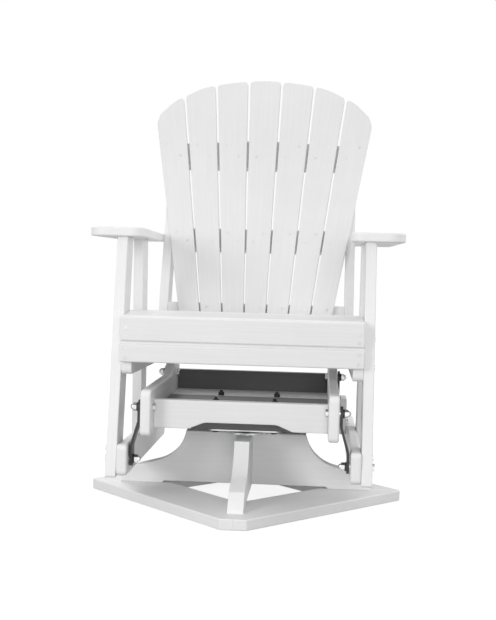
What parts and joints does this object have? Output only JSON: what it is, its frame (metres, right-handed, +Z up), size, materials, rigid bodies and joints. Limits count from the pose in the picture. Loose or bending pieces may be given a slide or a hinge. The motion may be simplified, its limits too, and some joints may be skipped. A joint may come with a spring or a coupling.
{
  "type": "swivel glider chair",
  "caption": "Fan-back garden armchair of white poly lumber boards that glides on swinging steel arms and turns on a swivel over a diamond-shaped base.",
  "frame": {"origin": "on the swivel axis, in the plane of the base's underside", "axes": "+Z up along the swivel axis, -Y the way the chair faces at rest, +X to the right as seen from the front"},
  "size_m": [0.7964, 0.8781, 1.148],
  "materials": {
    "lumber_white": "white poly lumber, satin with a faint grain along the board",
    "lumber_charcoal": "charcoal poly lumber, satin with a faint grain along the board",
    "arm_black": "flat steel strap with a black powder coat",
    "bush_black": "black bearing plastic, matte",
    "plate_zinc": "zinc plated sheet steel",
    "bolt_stainless": "bright stainless",
    "bolt_black": "black oxide",
    "screw_white": "white coated screw heads"
  },
  "bodies": {
    "base": {"base_board_front_left": "lumber_white", "base_board_front_right": "lumber_white", "base_board_rear_left": "lumber_white", "base_board_rear_right": "lumber_white", "base_screws": "bolt_stainless", "pedestal_arch_fore": "lumber_white", "pedestal_arch_side": "lumber_white", "swivel_lower_plate": "plate_zinc"},
    "carriage": {"carriage_deck": "lumber_white", "carriage_front_board": "lumber_white", "carriage_rail_left": "lumber_white", "carriage_rail_right": "lumber_white", "carriage_rear_board": "lumber_charcoal", "carriage_screws": "screw_white", "swivel_ball_ring": "plate_zinc", "swivel_bolts": "bolt_black", "swivel_spacer": "lumber_charcoal", "swivel_upper_plate": "plate_zinc", "upper_pivot_bolts": "bolt_stainless"},
    "arm_front_left": {"glide_arm_front_left": "arm_black", "glide_bushes_front_left": "bush_black"},
    "arm_front_right": {"glide_arm_front_right": "arm_black", "glide_bushes_front_right": "bush_black"},
    "arm_rear_left": {"glide_arm_rear_left": "arm_black", "glide_bushes_rear_left": "bush_black"},
    "arm_rear_right": {"glide_arm_rear_right": "arm_black", "glide_bushes_rear_right": "bush_black"},
    "chair": {"armrest_left": "lumber_white", "armrest_right": "lumber_white", "back_brace_lower": "lumber_white", "back_brace_middle": "lumber_white", "back_brace_upper": "lumber_white", "back_slat_1": "lumber_white", "back_slat_2": "lumber_white", "back_slat_3": "lumber_white", "back_slat_4": "lumber_white", "back_slat_5": "lumber_white", "back_slat_6": "lumber_white", "back_slat_7": "lumber_white", "back_upright_left": "lumber_white", "back_upright_right": "lumber_white", "chair_screws": "screw_white", "frame_lag_screws": "bolt_stainless", "front_leg_left": "lumber_white", "front_leg_right": "lumber_white", "lower_pivot_bolts": "bolt_stainless", "lower_rail_left": "lumber_white", "lower_rail_right": "lumber_white", "rear_leg_left": "lumber_white", "rear_leg_right": "lumber_white", "rear_pivot_pads": "lumber_white", "seat_front_lower": "lumber_white", "seat_front_upper": "lumber_white", "seat_rail_left": "lumber_white", "seat_rail_right": "lumber_white", "seat_slat_1": "lumber_white", "seat_slat_2": "lumber_white", "seat_slat_3": "lumber_white", "seat_slat_4": "lumber_white", "seat_slat_5": "lumber_white"}
  },
  "joints": [
    {"name": "swivel", "type": "hinge", "parent": "base", "child": "carriage", "pos_m": [0, 0, 0.175], "axis": [0, 0, 1], "continuous": true},
    {"name": "glide", "type": "hinge", "parent": "carriage", "child": "arm_front_left", "pos_m": [-0.2378, -0.24, 0.252], "axis": [1, 0, 0], "range_deg": [-20, 20]},
    {"name": "chair_level", "type": "hinge", "parent": "arm_front_left", "child": "chair", "pos_m": [-0.2552, -0.24, 0.128], "axis": [1, 0, 0], "range_deg": [-20, 20]},
    {"name": "arm_front_right_swing", "type": "hinge", "parent": "carriage", "child": "arm_front_right", "pos_m": [0.2378, -0.24, 0.252], "axis": [1, 0, 0], "range_deg": [-20, 20]},
    {"name": "arm_rear_left_swing", "type": "hinge", "parent": "carriage", "child": "arm_rear_left", "pos_m": [-0.2378, 0.18, 0.292], "axis": [1, 0, 0], "range_deg": [-20, 20]},
    {"name": "arm_rear_right_swing", "type": "hinge", "parent": "carriage", "child": "arm_rear_right", "pos_m": [0.2378, 0.18, 0.292], "axis": [1, 0, 0], "range_deg": [-20, 20]}
  ],
  "couplings": [
    {"joint": "chair_level", "follows": "glide", "ratio": -1},
    {"joint": "arm_front_right_swing", "follows": "glide", "ratio": 1},
    {"joint": "arm_rear_left_swing", "follows": "glide", "ratio": 1},
    {"joint": "arm_rear_right_swing", "follows": "glide", "ratio": 1}
  ]
}
